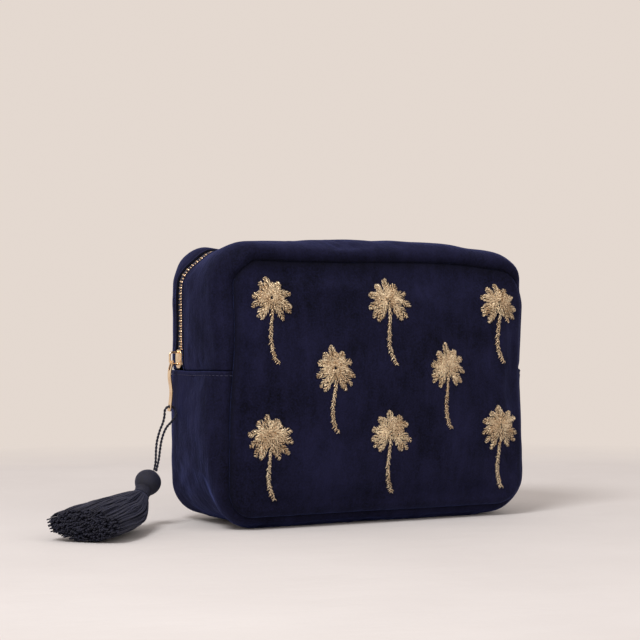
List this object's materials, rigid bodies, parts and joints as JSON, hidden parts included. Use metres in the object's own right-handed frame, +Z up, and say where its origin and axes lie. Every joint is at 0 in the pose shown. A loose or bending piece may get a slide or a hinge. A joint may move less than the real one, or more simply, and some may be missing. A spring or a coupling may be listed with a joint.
{
  "type": "zippered pouch",
  "caption": "Padded box pouch with embroidered palms, a metal zip over the top and down both sides, a flat pull and a thread tassel.",
  "frame": {"origin": "middle of the base, on the surface that the pouch stands on", "axes": "+X along the long side to the right, -Y out of the embroidered front panel, +Z up"},
  "size_m": [0.3143, 0.1019, 0.1679],
  "materials": {
    "velvet": "cut pile velvet, dark navy with a bluish sheen",
    "wadding": "white polyester wadding",
    "lining": "plain woven lining",
    "zip_tape": "woven zip tape",
    "gold_metal": "polished light gold plating",
    "gold_thread": "metallic embroidery thread",
    "tassel_thread": "matt stranded thread"
  },
  "bodies": {
    "root": {"front_panel_lower": "velvet", "back_panel_lower": "velvet", "gusset_lower": "velvet", "front_wadding_lower": "wadding", "back_wadding_lower": "wadding", "gusset_wadding": "wadding", "front_lining_lower": "lining", "back_lining_lower": "lining", "gusset_lining": "lining", "palm_trunk_4": "gold_thread", "palm_trunk_5": "gold_thread", "palm_crown_6": "gold_thread", "palm_trunk_6": "gold_thread", "palm_crown_7": "gold_thread", "palm_trunk_7": "gold_thread", "palm_crown_8": "gold_thread", "palm_trunk_8": "gold_thread"},
    "front_mouth": {"front_panel_upper": "velvet", "front_wadding_upper": "wadding", "front_lining_upper": "lining", "zip_strip_front": "velvet", "strip_lining_front": "lining", "zip_tape_front": "zip_tape", "zip_chain_front": "gold_metal", "palm_crown_1": "gold_thread", "palm_trunk_1": "gold_thread", "palm_crown_2": "gold_thread", "palm_trunk_2": "gold_thread", "palm_crown_3": "gold_thread", "palm_trunk_3": "gold_thread", "palm_crown_4": "gold_thread", "palm_crown_5": "gold_thread"},
    "back_mouth": {"back_panel_upper": "velvet", "back_wadding_upper": "wadding", "back_lining_upper": "lining", "zip_strip_back": "velvet", "strip_lining_back": "lining", "zip_tape_back": "zip_tape", "zip_chain_back": "gold_metal"},
    "slider": {"slider_body": "gold_metal", "slider_bail": "gold_metal"},
    "pull": {"pull_bar": "gold_metal"},
    "tassel": {"tassel_cord": "tassel_thread", "tassel_head": "tassel_thread", "tassel_neck": "tassel_thread", "tassel_skirt": "tassel_thread"}
  },
  "joints": [
    {"name": "zip_slide", "type": "slide", "parent": "root", "child": "slider", "axis": [0, 0.0208, -0.9998], "range_m": [-0.03, 0], "deforming": ["zip_chain_front", "zip_chain_back"]},
    {"name": "mouth_front", "type": "hinge", "parent": "root", "child": "front_mouth", "pos_m": [0, -0.04873, 0.079], "axis": [1, 0, 0], "range_deg": [0, 12]},
    {"name": "mouth_back", "type": "hinge", "parent": "root", "child": "back_mouth", "pos_m": [0, 0.04423, 0.079], "axis": [-1, 0, 0], "range_deg": [0, 27.06]},
    {"name": "pull_flip", "type": "hinge", "parent": "slider", "child": "pull", "pos_m": [-0.11085, 0.0169, 0.09725], "axis": [0, 1, 0], "range_deg": [0, 90]},
    {"name": "tassel_swing", "type": "hinge", "parent": "pull", "child": "tassel", "pos_m": [-0.11235, 0.0169, 0.07025], "axis": [0, 1, 0], "range_deg": [0, 26]}
  ],
  "couplings": [
    {"joint": "mouth_back", "follows": "mouth_front", "ratio": 2.254}
  ]
}
